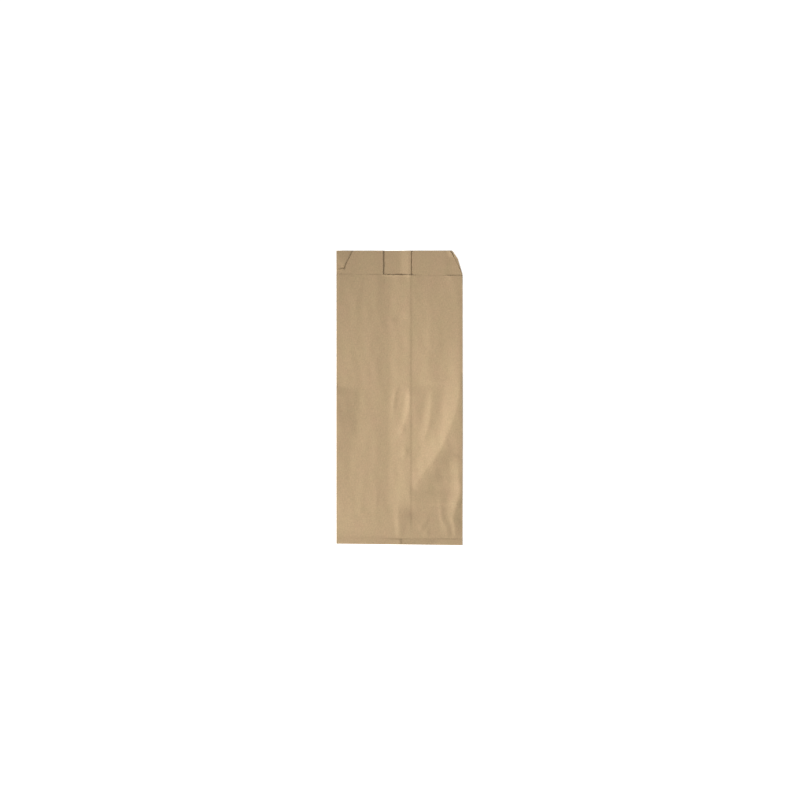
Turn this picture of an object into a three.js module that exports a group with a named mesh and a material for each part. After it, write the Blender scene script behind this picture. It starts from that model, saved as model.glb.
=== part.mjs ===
// Flat paper bag, folded and glued from one sheet of greaseproof kraft paper.
// Millimetres. +Z is up, +Y runs to the mouth, and +X is to the right of a person who looks down on it.
// The bag lies on its back: back panel lowest, then the two halves of each side gusset, then the front.

import * as THREE from 'three';

// The bag laid flat
const BAG_WIDTH = 120;
const BAG_LENGTH = 280; // bottom fold to mouth, along the right side
const BOTTOM_SKEW = 1.8; // how much higher the bottom fold lies at the left side
const LEFT_GUSSET = 45; // side fold to inner fold
const RIGHT_GUSSET = 48.3;

// The mouth, where the front panel is cut shorter than the rest
const LIP_DEPTH = 22.5; // front panel's edge below the back panel's, at the left side
const LIP_SLANT = 1.4; // how much deeper it is at the right side

// Corner cuts at the mouth: in is measured from the bag's side, down from the mouth's edge, and
// rise is how far above the front panel's edge the cut comes out at the side.
const LEFT_GUSSET_CUT = { topIn: 15.9, kneeIn: 7.3, kneeRise: 5.5, sideRise: 4.1 };
const RIGHT_GUSSET_CUT = { topIn: 11.8, kneeIn: 10.8, kneeRise: 19.1, sideRise: 0.9 };
const RIGHT_BACK_CUT = { topIn: 10.1, kneeIn: 5, kneeRise: 16.3, sideRise: 0.3 };

// The glued lap up the middle of the back
const SEAM_LAP = 10;
const SEAM_EDGE = 0.4; // right of the centre, where the outer edge of the lap ends
const SEAM_STEP = 1.6; // width over which the inner edge of the lap climbs onto the outer one

// The closed bottom: every layer is turned to the back, and the front panel's longer flap is glued there
const BOTTOM_TURN = 5.2;
const FLAP_LENGTH = 28; // bottom fold to the flap's end
const FLAP_TAPER = 6; // how much the flap narrows at each side
const STEP_DOWN = 6; // length over which the layers come down from a thicker place

// The paper, and the air between its layers
const PAPER = 0.08;
const PRESSED_GAP = 0.08; // at the folds that are pressed and glued
const RELAXED_GAP = 0.5; // along the rest of the bag
const RELAX_LENGTH = 60; // bottom fold to where the layers lie fully relaxed

// How finely the folds are rounded
const SIDE_FOLD_STEPS = 4;
const BOTTOM_FOLD_STEPS = 6;

const HALF_PAPER = PAPER / 2;
const SIDE = BAG_WIDTH / 2;
const PRESSED_PITCH = PAPER + PRESSED_GAP;
const RELAXED_PITCH = PAPER + RELAXED_GAP;

// Heights of the four layers above the back panel. The inner edge of the seam lies between the first two.
function layerHeights(pitch) {
  return {
    back: 0,
    gussetRear: PRESSED_PITCH + pitch,
    gussetFront: PRESSED_PITCH + 2 * pitch,
    front: PRESSED_PITCH + 3 * pitch,
  };
}

// Radius of the innermost layer at the bottom fold, and the height and place of the line it turns about
const TURN_RADIUS = PRESSED_PITCH / 2;
const STRIP_THICKNESS = layerHeights(PRESSED_PITCH).front;
const PIVOT_HEIGHT = HALF_PAPER + STRIP_THICKNESS + TURN_RADIUS;
const PIVOT_REACH = PIVOT_HEIGHT;

// Runs of the section that share the same ends along the bag
const FRONT = 'front';
const FRONT_FOLD = 'front fold';
const BODY = 'body';

// One row of the sheet, a line across the bag: reach is its place along the bag, pivot the height of the
// line that its layers are measured from, turn the angle round the bottom fold, pitch the layers' spacing.
function flatRow(reach, backHeight, pitch) {
  return { reach, pivot: backHeight - TURN_RADIUS, turn: 0, pitch };
}

function turnedRow(reach, turn) {
  return { reach, pivot: PIVOT_HEIGHT, turn, pitch: PRESSED_PITCH };
}

function makeRows() {
  const overStrip = PIVOT_HEIGHT + TURN_RADIUS;
  const overFlap = HALF_PAPER + PRESSED_PITCH;
  const pitchAt = (reach) => {
    const share = THREE.MathUtils.clamp((reach - BOTTOM_TURN) / (RELAX_LENGTH - BOTTOM_TURN), 0, 1);
    return THREE.MathUtils.lerp(PRESSED_PITCH, RELAXED_PITCH, share);
  };
  const rows = [turnedRow(FLAP_LENGTH, Math.PI), turnedRow(BOTTOM_TURN, Math.PI)];
  for (let step = 0; step <= BOTTOM_FOLD_STEPS; step += 1) {
    rows.push(turnedRow(PIVOT_REACH, Math.PI * (1 - step / BOTTOM_FOLD_STEPS)));
  }
  const flats = [
    [BOTTOM_TURN, overStrip],
    [BOTTOM_TURN + STEP_DOWN, overFlap],
    [FLAP_LENGTH, overFlap],
    [FLAP_LENGTH + STEP_DOWN, HALF_PAPER],
    [RELAX_LENGTH, HALF_PAPER],
  ];
  flats.forEach(([reach, height]) => rows.push(flatRow(reach, height, pitchAt(reach))));
  const lip = { ...flatRow(BAG_LENGTH - LIP_DEPTH, HALF_PAPER, RELAXED_PITCH), edge: 'lip' };
  const mouth = { ...flatRow(BAG_LENGTH, HALF_PAPER, RELAXED_PITCH), edge: 'mouth' };
  rows.push(lip, mouth);
  return rows;
}

// The rows between which each run of the section exists
function rowSpan(run, rows) {
  const last = rows.length - 1;
  return {
    [FRONT]: [0, last - 1],
    [FRONT_FOLD]: [1, last - 1],
    [BODY]: [1, last],
  }[run];
}

// A stop is a place on one face of the paper in the bag's cross-section: x across it and y its height.
function addFlat(stops, run, height, cut, places) {
  places.forEach((x) => stops.push({ x, y: height, run, cut }));
}

// A half turn of the paper whose tip is at x, bulging to the right (+1) or to the left (-1). The outer
// face runs outside the turn where the section goes round clockwise, and inside it otherwise.
function addFold(stops, run, tip, bulge, from, to, skin, cut) {
  const radius = Math.abs(to - from) / 2;
  const clockwise = bulge * (to - from) < 0;
  const faceRadius = clockwise ? radius + skin : radius - skin;
  const start = to > from ? -Math.PI / 2 : Math.PI / 2;
  const centre = tip - bulge * (radius + HALF_PAPER);
  const arc = new THREE.EllipseCurve(
    centre, (from + to) / 2, faceRadius, faceRadius, start, -start, clockwise,
  );
  arc.getPoints(SIDE_FOLD_STEPS).forEach(({ x, y }) => stops.push({ x, y, run, cut }));
}

// One face of the sheet in cross-section, from the seam's outer edge, round by the left side and the
// front, to the seam's inner edge. Skin is the face's distance from the middle of the paper: outer face +.
function makeSection(pitch, skin) {
  const { back, gussetRear, gussetFront, front } = layerHeights(pitch);
  const stops = [];
  const left = -SIDE;
  const right = SIDE;
  addFlat(stops, BODY, back - skin, null, [SEAM_EDGE]);
  addFold(stops, BODY, left, -1, back, gussetRear, skin, null);
  addFold(stops, BODY, left + LEFT_GUSSET, 1, gussetRear, gussetFront, skin, null);
  const leftCut = LEFT_GUSSET_CUT;
  addFlat(stops, BODY, gussetFront - skin, leftCut, [left + leftCut.topIn, left + leftCut.kneeIn]);
  addFold(stops, FRONT_FOLD, left, -1, gussetFront, front, skin, leftCut);
  addFold(stops, FRONT_FOLD, right, 1, front, gussetFront, skin, RIGHT_GUSSET_CUT);
  const rightCut = RIGHT_GUSSET_CUT;
  addFlat(stops, BODY, gussetFront - skin, rightCut, [right - rightCut.kneeIn, right - rightCut.topIn]);
  addFold(stops, BODY, right - RIGHT_GUSSET, -1, gussetFront, gussetRear, skin, null);
  const backCut = RIGHT_BACK_CUT;
  addFlat(stops, BODY, gussetRear + skin, backCut, [right - backCut.topIn, right - backCut.kneeIn]);
  addFold(stops, BODY, right, 1, gussetRear, back, skin, backCut);
  addFlat(stops, BODY, back - skin, backCut, [right - backCut.kneeIn, right - backCut.topIn]);
  addFlat(stops, BODY, back - skin, null, [SEAM_EDGE + SEAM_STEP]);
  addFlat(stops, BODY, back + PRESSED_PITCH - skin, null, [SEAM_EDGE, SEAM_EDGE - SEAM_LAP]);
  return stops;
}

// Which run the strip of paper between one stop and the next belongs to
function runBetween(stop, next) {
  const bothOnFrontFolds = stop.run === FRONT_FOLD && next.run === FRONT_FOLD;
  if (bothOnFrontFolds && stop.x * next.x < 0) {
    return FRONT;
  }
  return bothOnFrontFolds ? FRONT_FOLD : BODY;
}

// Depth of the front panel's edge below the mouth at x
function lipDepth(x) {
  return LIP_DEPTH + LIP_SLANT * (x / BAG_WIDTH + 0.5);
}

// Depth of the mouth's edge below its full height at x: two straight strokes where a corner is cut
function cutDepth(cut, x) {
  if (!cut) {
    return 0;
  }
  const fromSide = SIDE - Math.abs(x);
  const sideDepth = lipDepth(x) - cut.sideRise;
  const kneeDepth = lipDepth(x) - cut.kneeRise;
  if (fromSide < cut.kneeIn) {
    return THREE.MathUtils.mapLinear(fromSide, 0, cut.kneeIn, sideDepth, kneeDepth);
  }
  return THREE.MathUtils.mapLinear(Math.min(fromSide, cut.topIn), cut.kneeIn, cut.topIn, kneeDepth, 0);
}

// The place of a stop in a row, in the bag's own frame
function placeStop(stop, row, isFlapEnd) {
  let { reach } = row;
  if (row.edge === 'lip') {
    reach = BAG_LENGTH - lipDepth(stop.x);
  }
  if (row.edge === 'mouth') {
    reach = BAG_LENGTH - cutDepth(stop.cut, stop.x);
  }
  const x = isFlapEnd ? stop.x * (1 - FLAP_TAPER / SIDE) : stop.x;
  const radius = TURN_RADIUS + stop.y;
  const along = reach - radius * Math.sin(row.turn);
  const skew = BOTTOM_SKEW * (0.5 - x / BAG_WIDTH) * (1 - along / BAG_LENGTH);
  return new THREE.Vector3(x, along + skew - BAG_LENGTH / 2, row.pivot + radius * Math.cos(row.turn));
}

// The two faces as one list of points, row after row, outer face first
function placeFaces(rows) {
  return [HALF_PAPER, -HALF_PAPER].flatMap((skin) =>
    rows.flatMap((row, index) =>
      makeSection(row.pitch, skin).map((stop) => placeStop(stop, row, index === 0)),
    ),
  );
}

// Two triangles for each cell of the grid that the sheet fills, seen from the outer face
function faceTriangles(rows, stops) {
  const triangles = [];
  for (let column = 0; column < stops.length - 1; column += 1) {
    const [first, last] = rowSpan(runBetween(stops[column], stops[column + 1]), rows);
    for (let row = first; row < last; row += 1) {
      const near = row * stops.length + column;
      const far = near + stops.length;
      triangles.push([near, near + 1, far + 1], [near, far + 1, far]);
    }
  }
  return triangles;
}

// The cut edge of the paper: two triangles for each edge that only one triangle of the face has
function edgeTriangles(triangles, inner) {
  const edges = triangles.flatMap(([a, b, c]) => [[a, b], [b, c], [c, a]]);
  const known = new Set(edges.map(([a, b]) => `${a} ${b}`));
  return edges
    .filter(([a, b]) => !known.has(`${b} ${a}`))
    .flatMap(([a, b]) => [[b, a, a + inner], [b, a + inner, b + inner]]);
}

function makeSheet() {
  const rows = makeRows();
  const stops = makeSection(PRESSED_PITCH, HALF_PAPER);
  const inner = rows.length * stops.length;
  const outerFace = faceTriangles(rows, stops);
  const innerFace = outerFace.map(([a, b, c]) => [a + inner, c + inner, b + inner]);
  const triangles = [...outerFace, ...innerFace, ...edgeTriangles(outerFace, inner)];
  const geometry = new THREE.BufferGeometry().setFromPoints(placeFaces(rows));
  geometry.setIndex(triangles.flat());
  geometry.computeVertexNormals();
  return geometry;
}

const kraftPaper = new THREE.MeshStandardMaterial({ color: 0xb29a78, roughness: 0.85, metalness: 0 });

const paperBag = new THREE.Mesh(makeSheet(), kraftPaper);
paperBag.name = 'paper_bag';

const group = new THREE.Group();
group.add(paperBag);

export default group;
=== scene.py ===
# %% [markdown]
# # A creased paper bag
#
# The object is a flat bag of greaseproof kraft paper with gussets in both sides. It is one sheet:
# the web is folded into a flat tube, lapped and glued up the back, cut across, and turned over and
# glued at the bottom. So the model is one sheet as well, carried through the same folds, and every
# layer, edge and gap that shows in the picture comes from the way the paper runs. Four flat boards on
# each other would be quicker, but they would have neither folds nor edges that turn into folds.
#
# The frame is loaded first. It gives the real size of the flat bag, and the rest is worked out from it.

import math

import bpy
import numpy as np
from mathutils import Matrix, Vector


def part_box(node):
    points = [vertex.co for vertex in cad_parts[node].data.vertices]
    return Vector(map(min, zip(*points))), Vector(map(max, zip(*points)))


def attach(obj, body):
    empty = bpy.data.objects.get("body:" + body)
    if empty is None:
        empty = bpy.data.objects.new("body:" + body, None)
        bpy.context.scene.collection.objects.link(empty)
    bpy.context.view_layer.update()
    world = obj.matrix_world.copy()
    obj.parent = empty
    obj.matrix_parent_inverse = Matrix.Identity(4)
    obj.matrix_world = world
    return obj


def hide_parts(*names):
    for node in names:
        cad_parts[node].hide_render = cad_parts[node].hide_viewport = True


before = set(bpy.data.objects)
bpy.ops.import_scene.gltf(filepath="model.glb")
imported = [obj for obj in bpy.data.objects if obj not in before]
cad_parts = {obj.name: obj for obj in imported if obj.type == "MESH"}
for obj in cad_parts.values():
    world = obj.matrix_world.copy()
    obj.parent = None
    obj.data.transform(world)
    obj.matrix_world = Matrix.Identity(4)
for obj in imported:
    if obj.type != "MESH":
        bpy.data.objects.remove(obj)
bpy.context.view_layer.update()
bag_low, bag_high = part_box("paper_bag")

MM = 0.001
WIDTH = (bag_high.x - bag_low.x) / MM
LENGTH = (bag_high.y - bag_low.y) / MM
SIDE = WIDTH / 2
print(f"flat bag: {WIDTH:.1f} mm wide, {LENGTH:.1f} mm long")

# %% [markdown]
# ## The camera
#
# The bag lies on its back and the camera looks straight down at it. Its sides are parallel in the
# picture, so the camera stands far away with a long lens. An orthographic camera would show the same, but
# a real lens also shows what stands up a little larger. The bag's length takes up 295 pixels, which
# fixes the distance. The bag lies a few pixels off the middle of the picture, so the camera stands a
# little off its centre.

# %% The camera
IMAGE_PIXELS = 800
BAG_LENGTH_PIXELS = 294.95
BAG_CENTRE_PIXEL = (398.97, 397.45)
LENS_MM = 85.0
SENSOR_MM = 36.0

mm_per_pixel = LENGTH / BAG_LENGTH_PIXELS
middle_pixel = (IMAGE_PIXELS - 1) / 2
camera = bpy.data.objects.new("camera", bpy.data.cameras.new("camera"))
camera.data.lens = LENS_MM
camera.data.sensor_width = SENSOR_MM
bpy.context.scene.collection.objects.link(camera)
bpy.context.scene.camera = camera
camera_distance = IMAGE_PIXELS * mm_per_pixel * LENS_MM / SENSOR_MM
camera.location = (
    (middle_pixel - BAG_CENTRE_PIXEL[0]) * mm_per_pixel * MM,
    (BAG_CENTRE_PIXEL[1] - middle_pixel) * mm_per_pixel * MM,
    camera_distance * MM + bag_high.z,
)
print(f"camera {camera.location.z:.3f} m above the table, {mm_per_pixel:.4f} mm to a pixel")

# %% [markdown]
# ## The sizes of the folds and cuts
#
# These are the sizes that a bag maker would set: how deep each gusset goes, how far the front panel is
# cut back at the mouth, the lap of the glued seam and the turn of the bottom. They are the sizes of the
# frame's solid, in millimetres, but the gussets, the corner cuts and the skew of the bottom differ from
# it a little, so that they fall on the picture's lines. Places are measured across from the middle of
# the bag (x) and up from the bottom fold (y).

# %% Sizes of the folds and cuts
PAPER = 0.08
LEFT_GUSSET = 44.4
RIGHT_GUSSET = 48.0
LIP_DEPTH = 22.5
LIP_SLANT = 1.4
SEAM_LAP = 10.0
SEAM_EDGE = 0.4
BOTTOM_TURN = 5.2
BOTTOM_SKEW = 1.6
FLAP_LENGTH = 28.0
FLAP_TAPER = 6.0

# Each corner cut at the mouth: how far in from the side it starts at the top, how far in its knee lies,
# and how far above the front panel's edge the knee and the side end lie.
CUTS = {
    "none": (0.0, 0.0, 0.0, 0.0),
    "left gusset": (15.9, 7.3, 5.5, 4.1),
    "right gusset": (12.3, 9.2, 19.1, 0.9),
    "right back": (9.9, 4.6, 16.3, 1.1),
}
CUT_NAMES = list(CUTS)
print(f"gussets {LEFT_GUSSET} and {RIGHT_GUSSET} mm deep, front panel cut back {LIP_DEPTH} mm")

# %% [markdown]
# ## The sheet in cross-section
#
# Seen along the bag, the paper runs from the outer edge of the seam along the back to the left, in and
# out again for the left gusset, over the front, in and out for the right gusset, and along the back to
# the inner edge of the seam. Each step of that run is a column of points. A flat column lies in one
# layer. A fold's columns swing through half a turn from one layer to the next. The sheet could also be
# folded by a cloth simulation, but then the folds would not fall where the picture has them.
#
# The knife that cuts such a bag has small teeth. The columns stand half a tooth apart, so the cut edges
# can take the teeth later by moving every second column.

# %% Columns of the sheet, across the bag
HALF_TOOTH = 1.03
PRESSED_GAP = 0.03
BACK, GUSSET_REAR, GUSSET_FRONT, FRONT = range(4)
FOLD_STEPS = 6
# What a fold takes of the flat runs beside it
INNER_ROOM = 0.4
SIDE_ROOM = 0.25
CLOSEST_COLUMNS = 0.12
# More columns where the back panel dives under the right gusset's fold, and in the mouth's left corner
DIVE_COLUMNS = (11.0, 11.15, 11.35, 11.55)
CORNER_COLUMNS = HALF_TOOTH * (np.arange(-52, -42) + 0.5)

pressed_pitch = PAPER + PRESSED_GAP
columns = []


def flat_columns(layer, start, end, cut="none", lift=0.0, extra=()):
    """Columns in one layer from start to end: at every half tooth, at the ends and at the extra places."""
    low, high = min(start, end), max(start, end)
    places = HALF_TOOTH * np.arange(math.ceil(low / HALF_TOOTH), math.floor(high / HALF_TOOTH) + 1)
    places = np.unique(np.concatenate([places, extra, [low, high]]))
    places = places[np.append(np.diff(places) > CLOSEST_COLUMNS, True)]
    for place in places if end > start else places[::-1]:
        columns.append((place, layer, layer, 0.0, 0.0, CUT_NAMES.index(cut), lift))


def fold_columns(tip, bulge, layer, next_layer, cut="none"):
    """Columns through half a turn: the angle runs from 0 to pi, and the tip bulges left or right."""
    for turn in np.linspace(0.0, math.pi, FOLD_STEPS + 1):
        columns.append((tip, layer, next_layer, turn, bulge, CUT_NAMES.index(cut), 0.0))


left_inner, right_inner = LEFT_GUSSET - SIDE, SIDE - RIGHT_GUSSET
flat_columns(BACK, SEAM_EDGE, SIDE_ROOM - SIDE, extra=CORNER_COLUMNS)
fold_columns(-SIDE, -1, BACK, GUSSET_REAR)
flat_columns(GUSSET_REAR, SIDE_ROOM - SIDE, left_inner - INNER_ROOM, extra=CORNER_COLUMNS)
fold_columns(left_inner, 1, GUSSET_REAR, GUSSET_FRONT)
flat_columns(GUSSET_FRONT, left_inner - INNER_ROOM, SIDE_ROOM - SIDE, "left gusset")
first_front = len(columns)
fold_columns(-SIDE, -1, GUSSET_FRONT, FRONT, "left gusset")
flat_columns(FRONT, SIDE_ROOM - SIDE, SIDE - SIDE_ROOM)
fold_columns(SIDE, 1, FRONT, GUSSET_FRONT, "right gusset")
last_front = len(columns) - 1
flat_columns(GUSSET_FRONT, SIDE - SIDE_ROOM, right_inner + INNER_ROOM, "right gusset")
fold_columns(right_inner, -1, GUSSET_FRONT, GUSSET_REAR)
flat_columns(GUSSET_REAR, right_inner + INNER_ROOM, SIDE - SIDE_ROOM, "right back")
fold_columns(SIDE, 1, GUSSET_REAR, BACK, "right back")
flat_columns(BACK, SIDE - SIDE_ROOM, SEAM_EDGE + 2 * HALF_TOOTH, "right back", extra=DIVE_COLUMNS)
flat_columns(BACK, SEAM_EDGE, SEAM_EDGE - SEAM_LAP, lift=pressed_pitch)

col_x, col_layer, col_next, col_turn, col_bulge, col_cut, col_lift = np.array(columns).T
col_layer, col_next, col_cut = (numbers.astype(int) for numbers in (col_layer, col_next, col_cut))
in_fold = col_bulge != 0
print(f"{len(columns)} columns, the front panel from {first_front} to {last_front}")

# %% [markdown]
# ## The sheet along the bag
#
# The rows run the other way: from the end of the flap on the back, round the bottom fold and up to the
# mouth. Rows at one even distance would be simpler, but the folds need them far closer than the rest. So
# they lie close together where the paper bends, and 1.6 mm apart on the front panel, which carries the
# creases. The hidden layers are smooth, so they use only some of the rows, marked here as kept. Where
# the fine rows meet the kept ones, a cell has more than four corners.

# %% Rows of the sheet, along the bag
ROW_STEP = 1.6
COARSE = 6
FLAP_ROWS = 8
STRIP_ROWS_BEHIND = 3
STRIP_ROWS_IN_FRONT = 4
BOTTOM_FOLD_STEPS = 8
FOOT_ROWS = np.array([0.4, 0.8, 1.2, 1.7, 2.4, 3.3, 4.5])
BODY_ABOVE_STRIP = 6.0
BODY_BELOW_LIP = 2.0
LIP_ROWS = (1.3, 0.6, 0.0)
MOUTH_ROWS = 14

turn_radius = pressed_pitch / 2
pivot_height = PAPER / 2 + 3 * pressed_pitch + turn_radius
rows = []


def add_rows(places, turn=0.0, every=1):
    """Rows at the given places up the bag. Of these, one in so many is kept in all layers."""
    for index, place in enumerate(places):
        rows.append((place, turn, index % every == 0))


add_rows(np.linspace(FLAP_LENGTH, BOTTOM_TURN, FLAP_ROWS + 1)[:-1], turn=math.pi)
strip_end_row = len(rows)
add_rows(np.linspace(BOTTOM_TURN, pivot_height, STRIP_ROWS_BEHIND + 1)[:-1], turn=math.pi)
for turn in np.linspace(math.pi, 0.0, BOTTOM_FOLD_STEPS + 1):
    add_rows([pivot_height], turn=turn)
add_rows(np.linspace(pivot_height, BOTTOM_TURN, STRIP_ROWS_IN_FRONT + 1)[1:])
add_rows(BOTTOM_TURN + FOOT_ROWS)
body_start, body_end = BOTTOM_TURN + BODY_ABOVE_STRIP, LENGTH - LIP_DEPTH - LIP_SLANT - BODY_BELOW_LIP
body_count = COARSE * round((body_end - body_start) / ROW_STEP / COARSE)
add_rows(np.linspace(body_start, body_end, body_count + 1), every=COARSE)
add_rows([LENGTH - LIP_DEPTH - below for below in LIP_ROWS])
lip_row = len(rows) - 1
mouth_shares = np.linspace(0.0, 1.0, MOUTH_ROWS + 1)[1:]
add_rows(LENGTH - LIP_DEPTH * (1 - mouth_shares))

row_y, row_turn, row_kept = (np.array(values) for values in zip(*rows))
behind = row_turn[:, None] > 0
mouth_share = np.zeros(len(rows))
mouth_share[lip_row + 1:] = mouth_shares
print(f"{len(rows)} rows, {row_kept.sum()} of them in every layer")

# %% [markdown]
# ## The cuts at the mouth
#
# The front panel is cut a little out of square and shorter than the rest. The corners of the other
# layers are cut away in two straight strokes. Booleans could cut them, but they would leave ragged cells.
# Instead the rows between the front panel's edge and the mouth are spread evenly between those two lines,
# so the last row follows the cut.

# %% Places of the points in the flat bag
LIP_TEETH = 0.45
MOUTH_TEETH = 0.12


def lip_depth(x):
    """Depth of the front panel's edge below the mouth: a straight line, deeper to the right."""
    return LIP_DEPTH + LIP_SLANT * (x / WIDTH + 0.5)


def cut_depth(x, cut):
    """Depth of the mouth's edge: two straight strokes, from the side to the knee and on to the top."""
    depth = np.zeros_like(x)
    from_side = SIDE - np.abs(x)
    for number, (top_in, knee_in, knee_rise, side_rise) in enumerate(CUTS.values()):
        if top_in:
            knee = lip_depth(x) - knee_rise
            side = lip_depth(x) - side_rise
            lower = side + (knee - side) * from_side / knee_in
            upper = knee * (top_in - from_side) / (top_in - knee_in)
            stroke = np.where(from_side < knee_in, lower, np.maximum(upper, 0.0))
            depth = np.where(cut == number, stroke, depth)
    return depth


def teeth(x, depth):
    """The knife's teeth: a triangle wave across the bag, one tooth to two columns."""
    return depth * (np.abs((x / HALF_TOOTH) % 2 - 1) - 0.5)


X, Y = np.meshgrid(col_x, row_y)
mouth_edge = LENGTH - cut_depth(col_x, col_cut) - MOUTH_TEETH / 2 + teeth(col_x, MOUTH_TEETH)
lip_edge = LENGTH - lip_depth(col_x)
above_lip = np.arange(len(rows)) >= lip_row
Y = np.where(above_lip[:, None], lip_edge + mouth_share[:, None] * (mouth_edge - lip_edge), Y)
for steps_below, below in enumerate(LIP_ROWS[::-1]):
    Y[lip_row - steps_below] = lip_edge - below
front_flat = (col_layer == FRONT) & (col_next == FRONT)
Y[lip_row, front_flat] += teeth(col_x[front_flat], LIP_TEETH)
flap = np.zeros(len(rows))
flap[:strip_end_row] = (row_y[:strip_end_row] - BOTTOM_TURN) / (FLAP_LENGTH - BOTTOM_TURN)
X = X * (1 - flap[:, None] * FLAP_TAPER / SIDE)
Y[0] -= teeth(col_x, LIP_TEETH)
print(f"mouth edge from {mouth_edge.min():.1f} to {mouth_edge.max():.1f} mm")

# %% [markdown]
# ## The lie of the front panel
#
# The light in the picture comes from the left, low over the table. So a part of the panel that rises to
# the right looks bright, and a part that falls to the right looks dark. Read that way, the panel lies
# high at the left side fold, sinks towards the fold of the left gusset, rises across the seam to the
# fold of the right gusset, steps down there, and rises again over the fuller right side. It could be
# sculpted by hand, but numbers can be compared with the picture and changed one by one. So each of those
# is a ramp across the bag, and its height changes slowly along the bag.

# %% Ramps across the bag
def smooth(value, start, end):
    """0 before start, 1 after end, and between them 3 times the share squared less 2 times it cubed."""
    share = np.clip((value - start) / (end - start), 0.0, 1.0)
    return share * share * (3 - 2 * share)


def ramp(value, start, end, rounding):
    """0 up to start, a straight line to 1 at end, and level after it, with rounded corners. A bend is
    half of the way past a corner, plus half the root of that way squared plus the rounding squared. The
    ramp is the bend at its start less the bend at its end, over its length."""
    def bend(past):
        return 0.5 * (past + np.sqrt(past ** 2 + rounding ** 2))

    return (bend(value - start) - bend(value - end)) / (end - start)


def along_bag(y, stations):
    """A height that changes along the bag: the stations' values, with an S-curve from each to the next."""
    height = np.full(np.shape(y), stations[0][1], float)
    for (low, before), (high, after) in zip(stations, stations[1:]):
        height = height + (after - before) * smooth(y, low, high)
    return height


# Each ramp: where it starts and ends across the bag, its rounding, and its rise at places up the bag
RAMPS = {
    "down to the left gusset's fold": (-21, -10, 3.0, [(10, -0.25), (60, -0.45), (280, -0.5)]),
    "up across the seam": (
        -9.5, 9.8, 2.5,
        [(10, 0.2), (31, 0.3), (47, 1.9), (70, 1.6), (90, 1.4), (120, 1.2), (235, 1.2), (262, 1.1)]),
    "step at the right gusset's fold": (10.5, 11.5, 0.15, [(0, -0.2), (280, -0.2)]),
    "fullness of the right side": (
        12.5, 54, 5.0,
        [(14, 0.1), (50, 0.2), (71, 0.5), (99, 1.5), (137, 1.5), (166, 1.1), (199, 1.0), (280, 0.6)]),
    "swelling beside the right gusset's fold": (
        11.5, 34, 2.0, [(50, 0.0), (64, 0.9), (80, 1.1), (140, 1.0), (165, 0.3), (185, 0.0)]),
    "rise to the right side": (
        36, 57, 3.0, [(88, 0.0), (104, 1.4), (120, 1.5), (150, 1.4), (166, 1.2), (199, 0.6), (243, 0.2)]),
    "hollow of the foot beside the seam": (
        2, 24, 3.0, [(6, -0.2), (16, -0.5), (31, -1.2), (42, -0.6), (50, 0.0)]),
    "hollow of the foot below the long ridge": (
        14, 42, 3.0, [(24, -0.1), (34, -0.7), (50, -1.7), (64, -1.2), (80, 0.0)]),
    "rise of the foot's right side": (
        38, 53, 3.0, [(2, 0.0), (10, 0.6), (28, 0.6), (42, 0.0)]),
    "fall to the right side fold": (
        56.8, 62, 1.2, [(8, -1.2), (35, -1.3), (45, -0.1), (52, 0.1), (62, -0.1), (140, -0.1), (245, 0.0)]),
    "round over at the left side fold": (
        -60.2, -58.9, 0.3, [(8, 0.07), (205, 0.07), (225, 0.12), (250, 0.17)]),
    "round over at the right side fold": (
        58.3, 60, 0.3, [(8, -0.12), (48, -0.1), (60, -0.06), (120, -0.1), (165, -0.1), (180, -0.05)]),
}
# The left side fold stands up from the panel beside it: its height and its width at places up the bag
LEFT_SHOULDER = [
    (14, -0.4), (31, -0.1), (50, 0.4), (71, 0.6), (99, 1.4), (118, 2.4), (142, 1.9), (152, 0.4), (175, 0.2),
    (199, 0.3), (243, 0.7), (262, 0.8)]
LEFT_SHOULDER_WIDTH = [(92, 13.0), (122, 22.0)]
LEFT_SHOULDER_ROUNDING = 3.0


def lie(x, y):
    """Height of the front panel without its creases: the ramps and the left shoulder together."""
    shoulder_end = along_bag(y, LEFT_SHOULDER_WIDTH) - SIDE
    height = along_bag(y, LEFT_SHOULDER) * (1 - ramp(x, -SIDE, shoulder_end, LEFT_SHOULDER_ROUNDING))
    for start, end, rounding, stations in RAMPS.values():
        height = height + along_bag(y, stations) * ramp(x, start, end, rounding)
    return height


print(f"{len(RAMPS)} ramps and the left shoulder make the lie of the front panel")

# %% [markdown]
# ## The creases of handling
#
# A bag that has been carried and flattened again keeps long soft creases. A crease in paper is a line
# along which it kinks: on either side the sheet falls away. A noise texture would give creases anywhere,
# but these have their own places. So each crease here is a crest, a line of given points, with a
# height and a width on either side, all of which may change along it. The left side of each falls away
# straight from the crest, which makes the bright streaks with one sharp edge. The right side may be as
# sharp, or round over first. A crease with heights below 0 is a groove.

# %% How a crease is shaped
CREST_ROUNDING = 0.5


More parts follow.
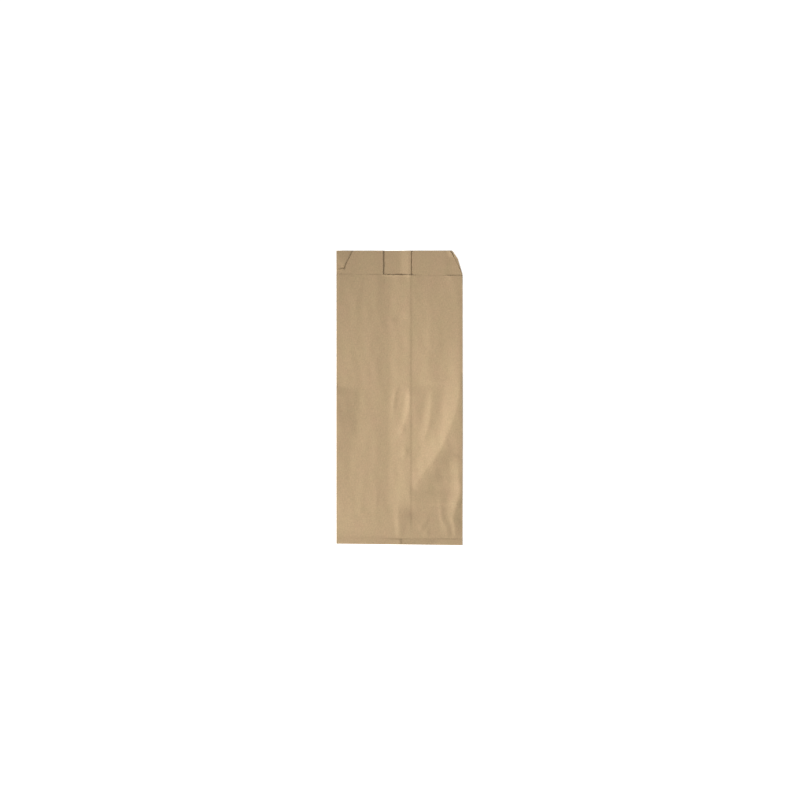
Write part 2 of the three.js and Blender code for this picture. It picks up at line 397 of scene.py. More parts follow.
def crease(x, y, crest, roundness=0.0):
    """Height of one crease. The nearest point of the crest gives its height and its two widths. From
    there the height falls to nothing over the width of that side, as (1 - down) to the power 1.5 on a
    sharp side and as (1 + cos(pi x down)) / 2 on a round one, where down is the share of that width. The
    very crest is rounded off a little."""
    crest = np.array(crest, float)
    nearest = np.full(x.shape, np.inf)
    height = np.zeros(x.shape)
    for start, end in zip(crest[:-1], crest[1:]):
        step = end[:2] - start[:2]
        along = ((x - start[0]) * step[0] + (y - start[1]) * step[1]) / (step @ step)
        along = np.clip(along, 0.0, 1.0)
        off_x = x - start[0] - along * step[0]
        off_y = y - start[1] - along * step[1]
        distance = np.hypot(off_x, off_y)
        tall, left, right = (start[k] + along * (end[k] - start[k]) for k in (2, 3, 4))
        to_left = step[0] * off_y - step[1] * off_x > 0
        soft = np.sqrt(distance ** 2 + CREST_ROUNDING ** 2) - CREST_ROUNDING
        down = np.clip(soft / np.where(to_left, left, right), 0.0, 1.0)
        sharp = (1 - down) ** 1.5
        rounded = 0.5 + 0.5 * np.cos(math.pi * down)
        share = np.where(to_left, sharp, sharp + (rounded - sharp) * roundness)
        here = distance < nearest
        nearest = np.where(here, distance, nearest)
        height = np.where(here, tall * share, height)
    return height


# Each crest point: x, y, height, width to the left of the line as it runs, width to the right.
# The number after the points says how round the right side is.
CREASES = {
    "long ridge": ([
        (13.5, 53, 0.0, 4, 14), (17.5, 60.5, 0.8, 9, 18), (22.6, 68.5, 1.3, 13, 18), (29, 76.5, 1.7, 15, 18),
        (35, 85, 2.1, 16, 18), (40, 93, 2.4, 16, 21), (44.3, 103, 2.3, 16, 40), (48.6, 113, 2.0, 16, 60),
        (53, 125, 1.6, 15, 60), (56, 137.5, 1.3, 15, 60), (57.5, 152, 1.1, 14, 60),
        (58, 175, 0.8, 13, 60), (57, 197, 0.3, 10, 60), (57, 205, 0.0, 10, 60)], 0.7),
    "short ridge": ([
        (49, 20, 0.0, 5, 12), (51.6, 31, 1.0, 8, 12), (54.3, 39.5, 1.3, 9, 11), (56.8, 47, 1.3, 9, 12),
        (57.5, 54, 1.2, 9, 20), (56.5, 62, 0.9, 9, 30), (55.5, 72, 0.7, 8, 30), (55, 84, 0.5, 7, 30),
        (55, 96, 0.0, 7, 30)], 0.5),
    "curve below the short ridge": ([
        (50.6, 4, 0.15, 2.5, 3), (53, 10, 0.3, 3, 5), (52.6, 16.6, 0.35, 3, 5), (51.1, 24, 0.3, 3, 5),
        (50, 28, 0.0, 3, 4)], 0.0),
    "hook, left leg": ([
        (-6.8, 123, 0.0, 2, 3), (-5.2, 137, 0.3, 3, 4), (-3.8, 146, 0.3, 3, 5), (-1.5, 151, 0.2, 2.5, 4),
        (2.6, 152.6, 0.15, 2, 3), (6, 151, 0.0, 2, 3)], 0.0),
    "hook, right leg": ([
        (-2, 99, 0.0, 5, 20), (3.5, 112.7, 0.5, 6, 20), (7.6, 122, 0.8, 6, 20), (9.6, 132, 0.9, 5.5, 20),
        (9.8, 142, 0.8, 4.5, 20), (9.2, 151, 0.0, 3, 20)], 1.0),
    "knot by the right gusset's fold": ([
        (3, 80, 0.0, 6, 3), (5.5, 88, 0.45, 8, 4), (5, 95, 0.0, 6, 3)], 0.0),
    "knot above it": ([(0, 103, 0.0, 5, 3), (3, 109, 0.4, 7, 4), (5, 115, 0.0, 5, 3)], 0.0),
    "streak on the right gusset": ([
        (30, 176, 0.0, 5, 12), (30.5, 188, 0.25, 5, 12), (30.5, 203, 0.2, 5, 12),
        (30, 212, 0.0, 5, 12)], 1.0),
    "middle streak": ([
        (21, 94, 0.0, 7, 10), (25, 103, 0.45, 7, 10), (28, 114.6, 0.65, 7, 12), (29.3, 126, 0.7, 6, 12),
        (30.3, 137.5, 0.6, 6, 12), (30.7, 150, 0.0, 5, 10)], 0.5),
    "patch": ([
        (29, 152.5, 0.0, 15, 25), (29, 156, 0.45, 15, 30), (28, 178, 0.45, 15, 30), (29, 200, 0.4, 15, 30),
        (30, 225, 0.2, 15, 30), (30, 240, 0.0, 15, 30)], 1.0),
    "curve at the left of the mouth": ([
        (-48, 220, 0.0, 6, 4), (-42, 229, 0.12, 8, 5), (-37.4, 242, 0.15, 8, 6),
        (-35.5, 259, 0.08, 8, 6)], 0.5),
    "small smile": ([
        (-8, 216.6, 0.0, 3, 3), (-4, 216.2, -0.2, 3, 5), (-1.2, 216.8, -0.35, 3, 6),
        (1.5, 218.4, -0.3, 3, 6), (3.5, 221.5, 0.0, 3, 4)], 1.0),
    "crease below the mouth": ([
        (4.5, 244, 0.0, 2, 1.5), (6, 246.5, 0.12, 2, 1.5), (7.3, 249, 0.0, 2, 1.5)], 0.0),
    "narrow ridge at the foot": ([
        (-0.3, 0, 0.25, 3, 3), (-0.5, 9, 0.3, 3, 5), (-0.9, 20, 0.4, 4, 9), (-0.9, 33, 0.4, 5, 10),
        (-0.5, 41, 0.2, 6, 10), (0.5, 50, 0.0, 9, 8)], 0.8),
    "streak at the lower left": ([
        (-38.4, 26, 0.0, 5, 3), (-37.4, 33, 0.2, 6, 4), (-36.5, 40, 0.0, 6, 4)], 0.0),
    "streak beside it": ([
        (-23.1, 27, 0.0, 4, 3), (-22, 42, 0.2, 4, 4), (-21.2, 62, 0.0, 4, 4)], 0.0),
    "foot, right of the middle": ([
        (45, 3, 0.2, 6, 5), (46, 10, 0.3, 7, 5), (44.5, 19, 0.28, 6, 5), (40, 25, 0.3, 4, 4),
        (38.7, 41, 0.2, 3, 5), (39, 48, 0.0, 3, 5)], 0.0),
    "foot, middle": ([
        (16, 14, 0.0, 4, 3), (21, 17, 0.25, 5, 3), (25.5, 22, 0.3, 5, 3), (28, 30, 0.0, 4, 3)], 0.0),
    "foot, lower middle": ([
        (25.5, 3, 0.1, 5, 3), (26.5, 12, 0.3, 5, 3), (27, 17, 0.0, 4, 3)], 0.0),
    "mark on the left gusset": ([
        (-13.6, 148, 0.0, 1.5, 2), (-11.5, 151, 0.12, 1.5, 2), (-9.8, 154.6, 0.0, 1.5, 2)], 0.0),
    "dimple by the long ridge": ([
        (44.2, 97, 0.0, 2, 1.5), (45.5, 94, 0.15, 2.5, 1.5), (49, 89, 0.0, 2, 2)], 0.0),
}


def creases(x, y):
    """Height of all creases together, in millimetres."""
    return sum(crease(x, y, *shape) for shape in CREASES.values())


tallest = max(point[2] for points, _ in CREASES.values() for point in points)
print(f"{len(CREASES)} creases, the tallest {tallest} mm")

# %% [markdown]
# ## The back panel
#
# The back panel lies on the table. At the bottom it runs over the flap and the turned-over strip, which
# lift all layers off the table. At the mouth it bows up between the gussets' folds, and its left corner
# stands up where the gusset above it is cut away. A cloth simulation would find heights like these by
# itself, but slowly, and not with the bends where the picture has them. So they are made of the same
# S-curves, ramps and creases as the front.

# %% Heights of the back panel
# How far up the bag the back comes down from the strip: sharp on the right, and wider on the left
STEP_REACH = 1.3
STEP_REACH_MORE = 2.7
TABLE_AIR = 0.05
BACK_WAVES_MM = 40
MOUTH_Y = (LENGTH - 62, LENGTH - 34)
RIGHT_CORNER_X = (25, 55)
RIGHT_CORNER_RISE = 0.9
FLOOR_BOW = 1.35
FLOOR_BOW_X = (0.8, 9.2)
FLOOR_DIVE = 0.5
FLOOR_DIVE_X = (11.1, 11.55)
FLOOR_SINK_X = (12, 40)
# The left corner: widths on either side of the line that it bends along, and its tilt
CORNER_WIDTHS = (60, 0.9)
CORNER_TILT = 1.8
CORNER_TILT_WIDTH = 16
CORNER_TILT_DEPTH = 24


def rounded_max(a, b, softness=0.03):
    """The greater of two heights, rounded where they change over: half of their sum, plus half the root
    of their difference squared plus the softness squared."""
    return 0.5 * (a + b + np.sqrt((a - b) ** 2 + softness ** 2))


def cockle(x, y, size, seed, waves=28):
    """Faint waves of dried paper: a sum of plane waves of random direction, about size mm long, over the
    root of half their number. They are drawn out a little along the bag."""
    dice = np.random.default_rng(seed)
    total = np.zeros(np.broadcast(x, y).shape)
    for _ in range(waves):
        wave = 2 * math.pi / (size * dice.uniform(0.6, 1.8))
        angle = dice.normal(0.0, 0.7)
        total += np.sin(wave * (x * math.cos(angle) + 0.6 * y * math.sin(angle)) + dice.uniform(0, 6.3))
    return total / math.sqrt(waves / 2)


def loose(y):
    """0 where the layers are pressed together at the bottom, and 1 beyond the flap."""
    return smooth(y, BOTTOM_TURN + 0.5, FLAP_LENGTH)


def at_mouth(y):
    """0 along the bag, and 1 near the mouth."""
    return smooth(y, *MOUTH_Y)


def base_height(x, y):
    """Height of what lies under the layers: over the turned strip, over the flap, and onto the table."""
    over_strip = pivot_height + turn_radius
    over_flap = PAPER / 2 + pressed_pitch
    step_end = BOTTOM_TURN + 0.2 + STEP_REACH + STEP_REACH_MORE * (1 - smooth(x, -30, 0))
    down_to_flap = smooth(y, BOTTOM_TURN + 0.2, step_end)
    down_to_table = smooth(y, FLAP_LENGTH - 1, FLAP_LENGTH + 2)
    return over_strip + (over_flap - over_strip) * down_to_flap + (PAPER / 2 - over_flap) * down_to_table


def floor_bow(x):
    """How the back panel bows up at the mouth: it rises between the gussets' folds, dives under the
    right gusset's fold, and sinks again towards the side."""
    rise = FLOOR_BOW * ramp(x, *FLOOR_BOW_X, 1.0)
    dive = FLOOR_DIVE * ramp(x, *FLOOR_DIVE_X, 0.03)
    return rise - dive - (FLOOR_BOW - FLOOR_DIVE) * ramp(x, *FLOOR_SINK_X, 4)


def back_height(x, y):
    """Height of the back panel without its left corner: base, air and, at the mouth, bow and corner."""
    air = TABLE_AIR * loose(y) * (1 + cockle(x, y, BACK_WAVES_MM, 5) / 2).clip(0)
    right_corner = RIGHT_CORNER_RISE * smooth(x, *RIGHT_CORNER_X) * at_mouth(y)
    return base_height(x, y) + air + (at_mouth(y) * floor_bow(x) + right_corner)


def corner_curl(x, y):
    """The rear layers' left corner, where the gusset above is cut away: it stands up from a line just
    outside that cut, and dives under it."""
    top_in, knee_in, knee_rise, side_rise = CUTS["left gusset"]
    lip = LENGTH - LIP_DEPTH
    line = [
        (-SIDE - 2, lip + side_rise + 0.8, 0.4, *CORNER_WIDTHS),
        (knee_in - SIDE - 0.5, lip + knee_rise + 0.9, 0.6, *CORNER_WIDTHS),
        (knee_in - SIDE + 0.9, lip + knee_rise + 4.0, 0.8, *CORNER_WIDTHS),
        (top_in - SIDE - 0.6, LENGTH + 0.5, 0.8, *CORNER_WIDTHS),
    ]
    to_side = np.clip((CORNER_TILT_WIDTH - SIDE - x) / CORNER_TILT_WIDTH, 0, 1)
    to_mouth = np.clip((CORNER_TILT_DEPTH - LENGTH + y) / CORNER_TILT_DEPTH, 0, 1)
    return crease(x, y, line) + CORNER_TILT * to_side * to_mouth


print(f"the back bows up {FLOOR_BOW} mm at the mouth, and its left corner stands {CORNER_TILT} mm up")

# %% [markdown]
# ## The halves of the gussets
#
# Between the back and the front lie the two halves of each gusset. All of them share the air under the
# front panel, so none can sink into the next. Along the bag they hang in that air, and at the folds they
# close up. At the mouth the front halves lie close under the front panel. There the tips of the inner
# folds and the edge of the left cut are turned up a little, and the right side's layers are lifted, which
# makes the thin lines of light and shade in the picture. Solid gaps of one size would be easier to build,
# but the mouth would look like a stack of cards.

# %% Air under the front panel
BASE_AIR = 0.47
LEAST_AIR = 0.05
FOOT_AIR = 0.95
FOOT_AIR_RISE_Y = (BOTTOM_TURN + 0.5, 46)
FOOT_AIR_FALL_Y = (50, 120)


def front_air(x, y, back):
    """Air under the front panel, beyond that of pressed layers: what its lie leaves above the back."""
    foot = FOOT_AIR * smooth(y, *FOOT_AIR_RISE_Y) * (1 - smooth(y, *FOOT_AIR_FALL_Y))
    front = base_height(x, y) + 3 * pressed_pitch + loose(y) * (BASE_AIR + lie(x, y)) + foot
    return (front - back - 3 * pressed_pitch).clip(LEAST_AIR * loose(y))


print(f"at least {LEAST_AIR} mm of air between the layers, and {FOOT_AIR} mm more at the foot")

# %% Heights of the gussets' halves
REAR_SHARE = 0.28
REAR_SHARE_RIGHT = 0.7
LEFT_CORNER_X = (25, 45)
LEFT_CORNER_PRESS = 0.9
HALF_SHARE = 0.6
SIDE_PINCH = 3.0
INNER_PINCH = 1.5
# Gap between the front halves and the front panel's edge, at the right and the left side
RIGHT_GAP = 0.3
RIGHT_GAP_X = (42, 50)
LEFT_GAP = 0.1
LEFT_GAP_X = (42, 60)
RIGHT_EDGE_X = (44.5, 51)
RIGHT_EDGE_AIR = 0.05
RIGHT_EDGE_CURL = 1.1
RIGHT_EDGE_Y = (LENGTH - 7.5, LENGTH - 1)
TIP_LIFT = 0.13
TIP_REACH = 0.9
CUT_CURL = 0.9
CUT_CURL_X = (50, 54)
CUT_CURL_REACH = 0.8


def above_lip_by(x, y):
    """How far a place lies above the front panel's edge."""
    return y - (LENGTH - lip_depth(x))


def gusset_heights(x, y, back, room, handled):
    """Heights of the gussets' rear and front halves, from the back panel's, the air and the creases.
    What is pinched by a fold falls off as e to the power of minus the distance over the pinch."""
    mouth = at_mouth(y)
    pinched = np.exp(-np.abs(SIDE - np.abs(x)) / SIDE_PINCH)
    from_inner = np.where(x > 0, x - right_inner, left_inner - x).clip(0)
    left_corner = smooth(-x, *LEFT_CORNER_X) * mouth
    right_corner = smooth(x, *RIGHT_CORNER_X) * mouth
    rear_share = REAR_SHARE * (1 - pinched) * (1 - LEFT_CORNER_PRESS * left_corner)
    rear_share = rear_share + (REAR_SHARE_RIGHT - REAR_SHARE) * right_corner
    edge_curl = RIGHT_EDGE_AIR + RIGHT_EDGE_CURL * smooth(y, *RIGHT_EDGE_Y)
    edge_lift = smooth(x, *RIGHT_EDGE_X) * edge_curl * mouth
    rear = back + pressed_pitch + rear_share * room + 0.5 * edge_lift

    half_share = HALF_SHARE + (1 - HALF_SHARE) * np.maximum(mouth, pinched)
    gap = RIGHT_GAP * smooth(x, *RIGHT_GAP_X) * (1 - 0.6 * pinched) + LEFT_GAP * smooth(-x, *LEFT_GAP_X)
    half = back + 2 * pressed_pitch + half_share * room + edge_lift - mouth * gap + pinched * handled
    tip = TIP_LIFT * smooth(above_lip_by(x, y), -0.5, 0.7) * np.exp(-from_inner / TIP_REACH)
    below_cut = (LENGTH - cut_depth(x, CUT_NAMES.index("left gusset")) - y).clip(0)
    cut_edge = CUT_CURL * smooth(-x, *CUT_CURL_X) * np.exp(-below_cut / CUT_CURL_REACH) * mouth
    half = rounded_max(half + tip + cut_edge, rear + pressed_pitch)
    rear = rear + (half - pressed_pitch - rear) * np.exp(-from_inner / INNER_PINCH)
    return rear, half


print(f"rear halves at {REAR_SHARE} and front halves at {HALF_SHARE} of the air")

# %% [markdown]
# ## The front panel and its edge
#
# The front panel is the sum of its lie, its creases and the faint waves that paper keeps from drying. The
# seam's edge is pressed through the turned-over strip at the bottom. At the mouth the panel's edge curls
# up a little between the gussets' folds and at the right side. The panel never sinks below what lies under
# it. A displacement modifier could do the same, but it wouldn't know of the layers below.

# %% Heights of all layers
STRIP_CREASES = 0.6
SEAM_MARK = 0.3
SEAM_MARK_X = (-12, 0)
LIP_CURL = 0.4
LIP_LIFT = 0.35
LIP_LIFT_Y = (LENGTH - 50, LENGTH - 24)
FRONT_WAVES = 0.035
FRONT_WAVES_MM = 14


def lip_rise(x, y, between_folds):
    """How the front panel's edge curls up between the folds, and lifts at the right side and beside the
    right gusset's fold."""
    lifted = smooth(x, 41, 50) + 0.5 * smooth(x, 10, 12) * (1 - smooth(x, 13, 21))
    curl = LIP_CURL * between_folds * smooth(above_lip_by(x, y), -1.4, 0.0)
    return curl + LIP_LIFT * lifted * smooth(y, *LIP_LIFT_Y)


def layer_heights(x, y):
    """Heights of the middle of the back, the gussets' rear and front halves and the front panel."""
    strip = 1 - smooth(y, BOTTOM_TURN - 0.5, BOTTOM_TURN + 1.5)
    handled = np.maximum(smooth(y, BOTTOM_TURN + 0.5, BOTTOM_TURN + 6), STRIP_CREASES * strip)
    handled = handled * creases(x, y)
    back = back_height(x, y)
    room = front_air(x, y, back)
    front = back + 3 * pressed_pitch + room
    rear, half = gusset_heights(x, y, back, room, handled)
    corner = corner_curl(x, y)
    back, rear = back + corner, rear + corner

    between_folds = smooth(x, left_inner, left_inner + 2) * (1 - smooth(x, right_inner - 1, right_inner))
    support = half + (back + pressed_pitch - half) * between_folds
    left_of_seam = 1 - ramp(x, SEAM_EDGE + 0.6, SEAM_EDGE + 1.6, 0.1)
    seam_mark = SEAM_MARK * left_of_seam * ramp(x, *SEAM_MARK_X, 2) * strip
    front = front + handled + seam_mark + lip_rise(x, y, between_folds)
    front = front + FRONT_WAVES * cockle(x, y, FRONT_WAVES_MM, 11) * loose(y)
    return np.stack([back, rear, half, rounded_max(front, support + pressed_pitch)])


middle = layer_heights(np.zeros((1, 1)), np.full((1, 1), LENGTH / 2)).ravel()
print("layers in the middle of the bag at", ", ".join(f"{height:.2f}" for height in middle), "mm")

# %% [markdown]
# ## The sheet in space
#
# Now every point gets its place. In a flat column it is the height of the layer. In a fold it goes
# round half a circle between the heights of two layers. Then the whole stack turns about the bottom
# fold: a row's turn is half a circle on the back, nothing on the front, and the steps between them round
# the fold. Last, the bottom fold is skewed a little, as it is on the bag. An armature could turn such
# folds too, but a folded sheet has no thickness to spare, and a formula keeps it exact.

# %% Places of the points in space
def placed_sheet():
    """The middle of the paper at every row and column, in millimetres."""
    here_x = np.where(in_fold, col_x - 0.5 * col_bulge, X)
    heights = layer_heights(here_x, Y)
    pressed = np.arange(4)[:, None, None] * pressed_pitch + np.zeros_like(heights)
    base = base_height(here_x, Y)
    above_base = np.where(behind, pressed, heights - base)
    layers = (np.broadcast_to(layer, (1, *X.shape)) for layer in (col_layer, col_next))
    first, second = (np.take_along_axis(above_base, layer, 0)[0] for layer in layers)
    radius = np.abs(second - first) / 2
    height = (first + second) / 2 - (second - first) / 2 * np.cos(col_turn) + col_lift
    x = np.where(in_fold, col_x - col_bulge * (radius + PAPER / 2 - radius * np.sin(col_turn)), X)
    pivot = np.where(behind, pivot_height, base - turn_radius)
    y = Y - (turn_radius + height) * np.sin(row_turn)[:, None]
    z = pivot + (turn_radius + height) * np.cos(row_turn)[:, None]
    skew = BOTTOM_SKEW * (0.5 - x / WIDTH) * (1 - smooth(y, -2.0, BOTTOM_TURN + 2.0))
    return np.stack([x, y + skew - LENGTH / 2, z], axis=-1)


def outward(points):
    """Direction square to the sheet at every point: the cross product of its two runs."""
    across = np.gradient(points, axis=1)
    along = np.gradient(points, axis=0)
    direction = np.cross(across, along)
    return direction / np.linalg.norm(direction, axis=-1, keepdims=True)


sheet = placed_sheet()
normal = outward(sheet)
print(f"sheet from {sheet[..., 2].min():.2f} to {sheet[..., 2].max():.2f} mm high")

# %% [markdown]
# ## The mesh
#
# The sheet gets its real thickness by moving it half the paper's thickness either way, which gives an
# outer and an inner face. The cells between rows and columns are the faces, and a narrow wall of faces
# closes the cut edge all round. A Solidify modifier does the same, but this way the counts are known and
# the mesh is done at once. The front panel has no rows above its own edge, and only the front panel has
# rows on the flap, so each strip of cells has its own first and last row.

# %% Faces between the rows and columns
def span(column):
    """First and last row of the cells to the right of a column."""
    if first_front <= column < last_front:
        flat = not in_fold[column] and not in_fold[column + 1]
        return (0 if flat else strip_end_row), lip_row
    return strip_end_row, len(rows) - 1


def strip_faces(column):
    """The cells between one column and the next: fine, or between kept rows, or where the two meet."""
    def here(row):
        return row * len(columns) + column

    first, last = span(column)
    lines = np.arange(first, last + 1)
    if not first_front <= column < last_front:
        lines = lines[row_kept[lines]]
    near, far = lines[:-1], lines[1:]
    if column not in (first_front - 1, last_front):
        return np.stack([here(near), here(near) + 1, here(far) + 1, here(far)], axis=1).tolist()
    cells = []
    for low, high in zip(near.tolist(), far.tolist()):
        passed = [here(row) for row in range(low + 1, high)]
        if column == last_front:
            cells.append([here(low), here(low) + 1, here(high) + 1, here(high), *passed[::-1]])
        else:
            cells.append([here(low), here(low) + 1, *[p + 1 for p in passed], here(high) + 1, here(high)])
    return cells


outer_faces = [cell for column in range(len(columns) - 1) for cell in strip_faces(column)]
point_count = X.size
edges = np.array([(a, b) for cell in outer_faces for a, b in zip(cell, cell[1:] + cell[:1])])
key = edges[:, 0] * point_count + edges[:, 1]
back_key = edges[:, 1] * point_count + edges[:, 0]
rim = edges[~np.isin(key, back_key)]
rim_faces = np.stack([rim[:, 1], rim[:, 0], rim[:, 0] + point_count, rim[:, 1] + point_count], axis=1)
inner_faces = [[corner + point_count for corner in reversed(cell)] for cell in outer_faces]
faces = outer_faces + inner_faces + rim_faces.tolist()
print(f"{len(outer_faces)} cells on each face, {len(rim_faces)} along the cut edge")

# %% The mesh
used = np.unique(np.array([corner for face in faces for corner in face]))
new_index = np.full(2 * point_count, -1)
new_index[used] = np.arange(len(used))
both = np.concatenate([sheet + normal * PAPER / 2, sheet - normal * PAPER / 2]).reshape(-1, 3)
faces_used = [[int(new_index[corner]) for corner in face] for face in faces]
mesh = bpy.data.meshes.new("paper_bag_sheet")
mesh.from_pydata((both[used] * MM).tolist(), [], faces_used)
triangles = sum(len(face) - 2 for face in faces)
print(f"{len(used)} points, {triangles} triangles")

# %% [markdown]
# ## The sheet's own coordinates
#
# The paper's fibres run along the web, and its pattern was there before it was folded. So the texture
# follows the flat sheet: how far across the web a point lies, and how far along it. An unwrap would lay
# out the folded shape again with seams of its own, but the columns and rows already are that flat sheet.
# A second value per point marks painted shade: the turned-over strip is painted darker, most of all
# to the right of the seam's step, where it lies in shade.

# %% Sheet coordinates and painted shade
UV_SPAN_MM = 500.0
FOLD_STEP_MM = 0.15
SHARP_ANGLE = math.radians(50)
# Painted shade on the turned-over strip: its share at the left, more towards the middle, more right of the
# seam's step, and far less at the right
SHADE_LEFT, SHADE_MIDDLE, SHADE_SEAM, SHADE_RIGHT = 0.25, 0.3, 0.45, -0.9


def per_point(values):
    """One value for each used point, the same on both faces of the sheet."""
    flat = values.reshape(X.size, -1)
    return np.concatenate([flat, flat])[used].astype(np.float32)


web = np.concatenate([[0.0], np.cumsum(np.where(in_fold[1:], FOLD_STEP_MM, np.abs(np.diff(col_x))))])
along_web = np.where(behind, -row_y[:, None], Y)
vertex_uv = per_point(np.stack(np.broadcast_arrays(web, along_web), axis=-1) / UV_SPAN_MM)
loop_vertex = np.zeros(len(mesh.loops), dtype=np.int32)
mesh.loops.foreach_get("vertex_index", loop_vertex)
uv_layer = mesh.uv_layers.new(name="sheet")
uv_layer.uv.foreach_set("vector", vertex_uv[loop_vertex].ravel())

from_fold = np.where(behind, FLAP_LENGTH * flap[:, None], Y)
# Painted shade on the turned-over strip, darkest right of the seam's step, and none above the strip
painted_shade_share = SHADE_LEFT + SHADE_MIDDLE * smooth(X, -40, 0) + SHADE_RIGHT * smooth(X, 30, 38)
painted_shade_share = painted_shade_share + SHADE_SEAM * smooth(X, SEAM_EDGE + 0.6, SEAM_EDGE + 1.6)
painted_shade_share = painted_shade_share * (1 - smooth(from_fold, BOTTOM_TURN, BOTTOM_TURN + 0.6))
painted_shade = mesh.attributes.new("painted_shade", "FLOAT", "POINT")
painted_shade.data.foreach_set("value", per_point(painted_shade_share).ravel())
print(f"web {web[-1]:.1f} mm wide, paste from {painted_shade_share.min():.2f} to {painted_shade_share.max():.2f}")

# %% The bag as an object
mesh.polygons.foreach_set("use_smooth", np.ones(len(mesh.polygons), dtype=bool))
mesh.set_sharp_from_angle(angle=SHARP_ANGLE)
mesh.update()
mesh.validate()
bag = bpy.data.objects.new("kraft_bag", mesh)
bpy.context.scene.collection.objects.link(bag)
print(f"{bag.name}: {len(mesh.polygons)} faces")

# %% [markdown]
# ## The paper
#
# Unbleached kraft paper is a felt of brown fibres. Seen close, it is cloudy, a little yellower here and
# pinker there, with a fine grain and faint streaks along the machine's direction. Greaseproof paper is
# pressed smooth, so it has a weak, broad sheen. A photograph of paper would bring its own light with it,
# so all of this is noise of a few sizes. It follows the sheet's own coordinates, in millimetres, so the
# streaks turn with the paper round its folds.

# %% The kraft paper material
KRAFT = (0.468, 0.334, 0.192)
SHEEN_ROUGHNESS = 0.55
CLOUD_MM = 14.0
MOTTLE_MM = 4.0
GRAIN_MM = 1.3
FIBRE_MM = 0.7
FIBRE_STRETCH = 5.0
# How dark the painted shade on the strip makes the paper
PAINTED_SHADE_DARKEST = 0.91
SPECULAR = 0.4
BUMP_STRENGTH = 0.35
BUMP_MM = 0.05
# The darkest and the lightest of each pattern, and the yellower and the pinker colour of the others
CLOUDS = (0.985, 1.015)
GRAIN = (0.91, 1.09)
FIBRES = (0.925, 1.075)
CLOUD_HUES = ((0.985, 1.012, 0.985), (1.012, 0.988, 1.01))
MOTTLE_HUES = ((0.988, 1.006, 1.0), (1.012, 0.994, 1.0))


def levels(tree, value, low, high, start=0.0, end=1.0):
    """A node that takes a value between start and end to one between low and high."""
    node = tree.nodes.new("ShaderNodeMapRange")
    for socket, level in (("From Min", start), ("From Max", end), ("To Min", low), ("To Max", high)):
        node.inputs[socket].default_value = level
    tree.links.new(value, node.inputs["Value"])
    return node.outputs["Result"]


def kraft_material():
    """Kraft paper: a base colour varied by clouds, mottle, grain and fibres, with a bump of fibres."""
    material = bpy.data.materials.new("kraft_paper")
    material.use_nodes = True
    tree = material.node_tree
    nodes, links = tree.nodes, tree.links
    shader = nodes["Principled BSDF"]
    uv = nodes.new("ShaderNodeUVMap")
    uv.uv_map = "sheet"

    def noise(size, stretch=1.0, detail=2.0, shift=0.0):
        """Noise with features of about this size in millimetres, drawn out along the bag."""
        place = nodes.new("ShaderNodeMapping")
        place.inputs["Scale"].default_value = (UV_SPAN_MM / size, UV_SPAN_MM / size / stretch, 1.0)
        place.inputs["Location"].default_value = (shift, shift, 0.0)
        texture = nodes.new("ShaderNodeTexNoise")
        texture.inputs["Scale"].default_value = 1.0
        texture.inputs["Detail"].default_value = detail
        links.new(uv.outputs["UV"], place.inputs["Vector"])
        links.new(place.outputs["Vector"], texture.inputs["Vector"])
        return texture.outputs["Fac"]

    def spread(value, low=0.0, high=1.0):
        """A noise, which lies mostly between 0.25 and 0.75, drawn out between two other values."""
        return levels(tree, value, low, high, 0.25, 0.75)

    def mix(blend, **sockets):
        """A colour mix node. Each socket takes a link or a plain value."""
        node = nodes.new("ShaderNodeMix")
        node.data_type = "RGBA"
        node.blend_type = blend
        for identifier, source in sockets.items():
            target = next(s for s in node.inputs if s.identifier == identifier)
            if isinstance(source, bpy.types.NodeSocket):
                links.new(source, target)
            else:
                target.default_value = source
        return next(s for s in node.outputs if s.identifier == "Result_Color")

    def times(colour, other):
        """One colour times another colour or brightness."""
        return mix("MULTIPLY", Factor_Float=1.0, A_Color=colour, B_Color=other)

    def tint(value, yellower, pinker):
        """Between two colours, by a value."""
        return mix("MIX", Factor_Float=value, A_Color=(*yellower, 1.0), B_Color=(*pinker, 1.0))

    # Each noise: its size, how far it is drawn out along the bag, its detail and its shift
    paper = times((*KRAFT, 1.0), tint(spread(noise(CLOUD_MM, 1.6, 3.0, 7.3)), *CLOUD_HUES))
    paper = times(paper, tint(spread(noise(MOTTLE_MM, 1.3, 2.0, 3.9)), *MOTTLE_HUES))
    paper = times(paper, spread(noise(CLOUD_MM / 2, 1.5, 3.0, 2.1), *CLOUDS))
    paper = times(paper, spread(noise(GRAIN_MM, 1.0, 3.0, 4.7), *GRAIN))
    paper = times(paper, spread(noise(FIBRE_MM, FIBRE_STRETCH, 2.0, 9.1), *FIBRES))
    # Painted shade on the turned-over strip darkens the paper's colour
    painted_shade = nodes.new("ShaderNodeAttribute")
    painted_shade.attribute_name = "painted_shade"
    paper = times(paper, levels(tree, painted_shade.outputs["Fac"], 1.0, PAINTED_SHADE_DARKEST))
    links.new(paper, shader.inputs["Base Color"])
    shader.inputs["Roughness"].default_value = SHEEN_ROUGHNESS
    shader.inputs["Specular IOR Level"].default_value = SPECULAR

    bump = nodes.new("ShaderNodeBump")
    bump.inputs["Strength"].default_value = BUMP_STRENGTH
    bump.inputs["Distance"].default_value = BUMP_MM * MM
    links.new(noise(FIBRE_MM, 3.0, 3.0, 5.5), bump.inputs["Height"])
    links.new(bump.outputs["Normal"], shader.inputs["Normal"])
    return material


mesh.materials.append(kraft_material())
print(f"kraft {KRAFT}, grain of {GRAIN_MM} mm, fibres {FIBRE_MM} mm wide")

# %% [markdown]
# ## The table and the light
#
# The table is plain and white. One softbox with a grid stands far to the left, low enough to bring out
# the creases, and the sky fills the shadows. A sun lamp would light the bag evenly, but in the picture
# the mouth is a little darker than the foot. The grid narrows the beam, so the mouth lies in its soft
# edge. More light would make the table white, but bleach the paper as well. So the table's glow and the
# full white of the sky are there only for the camera's rays and for reflections.

# %% What the camera sees directly
SKY_LEVEL = 0.4
TABLE_GLOW = 0.75


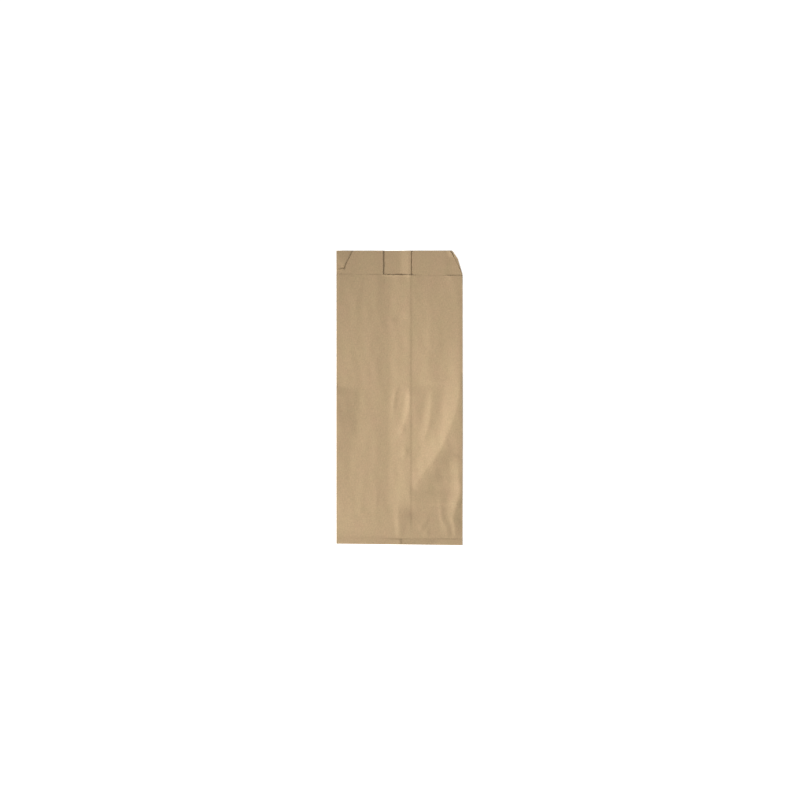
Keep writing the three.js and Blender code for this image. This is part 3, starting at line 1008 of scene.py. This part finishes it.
def seen_directly(tree):
    """1 for a camera, glossy or transmission ray, and 0 for the rays that light the scene."""
    paths = tree.nodes.new("ShaderNodeLightPath")
    seen = paths.outputs["Is Camera Ray"]
    for kind in ("Is Glossy Ray", "Is Transmission Ray"):
        either = tree.nodes.new("ShaderNodeMath")
        either.operation = "MAXIMUM"
        tree.links.new(seen, either.inputs[0])
        tree.links.new(paths.outputs[kind], either.inputs[1])
        seen = either.outputs[0]
    return seen


print(f"the sky lights at level {SKY_LEVEL}, and the table's own glow is {TABLE_GLOW}")

# %% The table and the sky
TABLE_SIZE = 8.0
TABLE_WHITE = 0.9
TABLE_ROUGHNESS = 0.9
WHITE = (1.0, 1.0, 1.0, 1.0)

bpy.ops.mesh.primitive_plane_add(size=TABLE_SIZE)
floor = bpy.context.object
floor.name = "table"
table_paint = bpy.data.materials.new("table_white")
table_paint.use_nodes = True
paint = table_paint.node_tree.nodes["Principled BSDF"]
paint.inputs["Base Color"].default_value = (TABLE_WHITE, TABLE_WHITE, TABLE_WHITE, 1.0)
paint.inputs["Roughness"].default_value = TABLE_ROUGHNESS
paint.inputs["Specular IOR Level"].default_value = 0.0
paint.inputs["Emission Color"].default_value = WHITE
glow = levels(table_paint.node_tree, seen_directly(table_paint.node_tree), 0.0, TABLE_GLOW)
table_paint.node_tree.links.new(glow, paint.inputs["Emission Strength"])
floor.data.materials.append(table_paint)

world = bpy.data.worlds.new("sky")
bpy.context.scene.world = world
world.use_nodes = True
sky = world.node_tree.nodes["Background"]
sky.inputs["Color"].default_value = WHITE
sky_strength = levels(world.node_tree, seen_directly(world.node_tree), SKY_LEVEL, 1.0)
world.node_tree.links.new(sky_strength, sky.inputs["Strength"])
bpy.context.scene.view_settings.view_transform = "Standard"
print(f"table {TABLE_SIZE} m wide")

# %% The softbox
KEY_DISTANCE = 1.5
KEY_ELEVATION = 22.0
KEY_BELOW_LEFT = 20.0
KEY_SIZE = 0.38
KEY_GRID = 26.0
KEY_LEVEL = 0.62
KEY_AIM = (0.0, -0.036, 0.0)
# Points across the lamp at which the grid's shade is worked out
GRID_POINTS = 41


def softbox(name, distance, elevation, below_left, size, grid, level, aim):
    """A square lamp behind a grid. Level is how bright it makes white paper that lies flat at its aim.
    Half the grid's angle is h. power = level x pi squared x distance squared x (1 - h / tan h) / sine of
    the elevation / the mean share of the lamp that the grid lets through to the aim."""
    rise, bearing, half_grid = (math.radians(angle) for angle in (elevation, below_left, grid / 2))
    across = np.linspace(-size / 2, size / 2, GRID_POINTS)
    off_axis = np.hypot(across[:, None], across[None, :]) / distance
    let_through = np.clip(1 - off_axis / math.tan(half_grid), 0, 1).mean()
    power = level * math.pi ** 2 * distance ** 2 * (1 - half_grid / math.tan(half_grid))
    lamp = bpy.data.objects.new(name, bpy.data.lights.new(name, "AREA"))
    lamp.data.size = size
    lamp.data.spread = 2 * half_grid
    lamp.data.energy = power / math.sin(rise) / let_through
    lamp.location = (
        aim[0] - distance * math.cos(rise) * math.cos(bearing),
        aim[1] - distance * math.cos(rise) * math.sin(bearing),
        aim[2] + distance * math.sin(rise),
    )
    lamp.rotation_euler = (Vector(aim) - lamp.location).to_track_quat("-Z", "Y").to_euler()
    bpy.context.scene.collection.objects.link(lamp)
    print(f"{name}: {lamp.data.energy:.2f} W, {let_through:.2f} of it through the grid")


softbox("softbox", KEY_DISTANCE, KEY_ELEVATION, KEY_BELOW_LEFT, KEY_SIZE, KEY_GRID, KEY_LEVEL, KEY_AIM)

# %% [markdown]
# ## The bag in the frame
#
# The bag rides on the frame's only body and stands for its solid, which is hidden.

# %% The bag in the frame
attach(bag, "root")
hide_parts("paper_bag")
